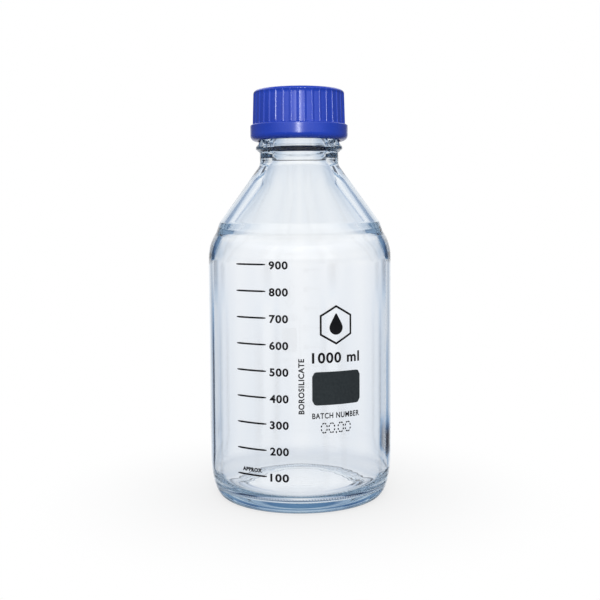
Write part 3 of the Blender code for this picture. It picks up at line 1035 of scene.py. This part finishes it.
def background(tree, colour, strength=None):
    """A background shader from a plain colour or a colour output, and a strength output."""
    shader = tree.nodes.new("ShaderNodeBackground")
    if isinstance(colour, tuple):
        shader.inputs["Color"].default_value = (*colour, 1.0)
    else:
        tree.links.new(colour, shader.inputs["Color"])
    if strength:
        tree.links.new(strength, shader.inputs["Strength"])
    return shader.outputs[0]


def in_degrees(tree, radians):
    return math_node(tree, "MULTIPLY", radians, 180 / math.pi)


def make_world():
    """A white studio: plain white to the camera, soft light on the cap from above, panels
    that show through the glass, and a room that the glass and the cap mirror."""
    world = bpy.data.worlds.new("studio")
    bpy.context.scene.world = world
    world.use_nodes = True
    tree = world.node_tree
    tree.nodes.clear()
    place = tree.nodes.new("ShaderNodeTexCoord")
    split = tree.nodes.new("ShaderNodeSeparateXYZ")
    tree.links.new(place.outputs["Generated"], split.inputs[0])
    azimuth = in_degrees(tree, math_node(tree, "ARCTAN2", split.outputs["X"], split.outputs["Y"]))
    elevation = in_degrees(tree, math_node(tree, "ARCSINE", split.outputs["Z"]))
    path = tree.nodes.new("ShaderNodeLightPath")

    rising = smooth_step(tree, elevation, -10.0, 25.0)
    overhead = math_node(tree, "MULTIPLY", rising, SKY_LIGHT - UNDER_LIGHT)
    overhead = math_node(tree, "ADD", overhead, UNDER_LIGHT)
    scattered = smooth_step(tree, path.outputs["Diffuse Depth"], 0.0, 1.0)
    seen_through = math_node(tree, "SUBTRACT", 1.0,
                             math_node(tree, "MULTIPLY", scattered, SCATTER_SHADE))
    panels = panels_behind(tree, azimuth, elevation, path.outputs["Transmission Depth"])
    mirrored = mirrored_room(tree, azimuth, elevation)
    kinds = (("Is Glossy Ray", background(tree, COOL_WHITE, mirrored)),
             ("Is Transmission Ray", background(tree, panels, seen_through)),
             ("Is Camera Ray", background(tree, (1.0, 1.0, 1.0))))
    light = background(tree, COOL_WHITE, overhead)
    for kind, shader in kinds:
        mix = tree.nodes.new("ShaderNodeMixShader")
        tree.links.new(path.outputs[kind], mix.inputs["Fac"])
        tree.links.new(light, mix.inputs[1])
        tree.links.new(shader, mix.inputs[2])
        light = mix.outputs[0]
    output = tree.nodes.new("ShaderNodeOutputWorld")
    tree.links.new(light, output.inputs["Surface"])


def area_light(name, location, target, width, height, power):
    """A rectangular lamp that faces a target; metres and watts."""
    data = bpy.data.lights.new(name, "AREA")
    data.energy = power
    data.shape = "RECTANGLE"
    data.size = width
    data.size_y = height
    light = new_object(name, data)
    light.location = location
    direction = Vector(target) - Vector(location)
    light.rotation_euler = direction.to_track_quat("-Z", "Y").to_euler()
    return light


def light_only(light, *names):
    """Lets a light fall on the named pieces only."""
    receivers = bpy.data.collections.new(light.name + "_receivers")
    for name in names:
        receivers.objects.link(bpy.data.objects[name])
    light.light_linking.receiver_collection = receivers


def make_floor():
    """White paper, which takes a faint shadow near the bottle. The glass doesn't show it."""
    bpy.ops.mesh.primitive_circle_add(vertices=128, radius=PAPER_RADIUS, fill_type="NGON",
                                      location=(0, 0, -PAPER_DROP))
    floor = bpy.context.object
    floor.name = "floor"
    material = bpy.data.materials.new("floor_paper")
    material.use_nodes = True
    tree = material.node_tree
    tree.nodes.clear()
    paper = tree.nodes.new("ShaderNodeBsdfDiffuse")
    paper.inputs["Color"].default_value = (0.9, 0.9, 0.9, 1.0)
    glow = tree.nodes.new("ShaderNodeEmission")
    glow.inputs["Color"].default_value = (1.0, 1.0, 1.0, 1.0)
    place = tree.nodes.new("ShaderNodeTexCoord")
    length = tree.nodes.new("ShaderNodeVectorMath")
    length.operation = "LENGTH"
    tree.links.new(place.outputs["Object"], length.inputs[0])
    fade = tree.nodes.new("ShaderNodeMapRange")
    fade.interpolation_type = "SMOOTHSTEP"
    fade.inputs["From Min"].default_value = SHADOW_INNER
    fade.inputs["From Max"].default_value = SHADOW_OUTER
    fade.inputs["To Min"].default_value = SHADOW_GLOW
    tree.links.new(length.outputs["Value"], fade.inputs["Value"])
    mix = tree.nodes.new("ShaderNodeMixShader")
    tree.links.new(fade.outputs["Result"], mix.inputs["Fac"])
    tree.links.new(paper.outputs[0], mix.inputs[1])
    tree.links.new(glow.outputs[0], mix.inputs[2])
    output = tree.nodes.new("ShaderNodeOutputMaterial")
    tree.links.new(mix.outputs[0], output.inputs["Surface"])
    floor.data.materials.append(material)
    floor.visible_transmission = False
    floor.visible_glossy = False


def make_lights():
    """A thin strip that only the plastic pieces mirror, and a soft box that nothing mirrors."""
    strip = area_light("front_strip", location=(-0.01, -0.9, 0.30), target=(0, 0, 0.21),
                       width=0.02, height=0.30, power=2.6)
    light_only(strip, "screw_cap_shell", "drip_ring", "liner_disc")
    key = area_light("front_box", location=(0.0, -1.2, 0.75), target=(0, 0, 0.2),
                     width=0.5, height=0.5, power=7.0)
    key.visible_glossy = False
    key.visible_transmission = False


def make_stage():
    make_camera()
    make_world()
    make_floor()
    make_lights()
    bpy.context.scene.view_settings.view_transform = "Standard"


def allow_more_bounces():
    """Light that is caught in the glass wall takes many reflections to come out again."""
    cycles = bpy.context.scene.cycles
    cycles.max_bounces = 32
    cycles.glossy_bounces = 24
    cycles.transmission_bounces = 32


def main():
    allow_more_bounces()
    make_bottle()
    make_pouring_ring()
    make_seal()
    make_cap()
    make_stage()
    black = enamel_material("black_fired_enamel", (0.003, 0.003, 0.004), (0.006, 0.006, 0.008), 0.42)
    grey = enamel_material("grey_fired_enamel", (0.020, 0.026, 0.030), (0.030, 0.038, 0.042), 0.5)
    dress_cad_prints(black, grey)
    make_numerals(black)
    make_words(black)
    make_emblem(black)
    make_batch_code(black)


main()
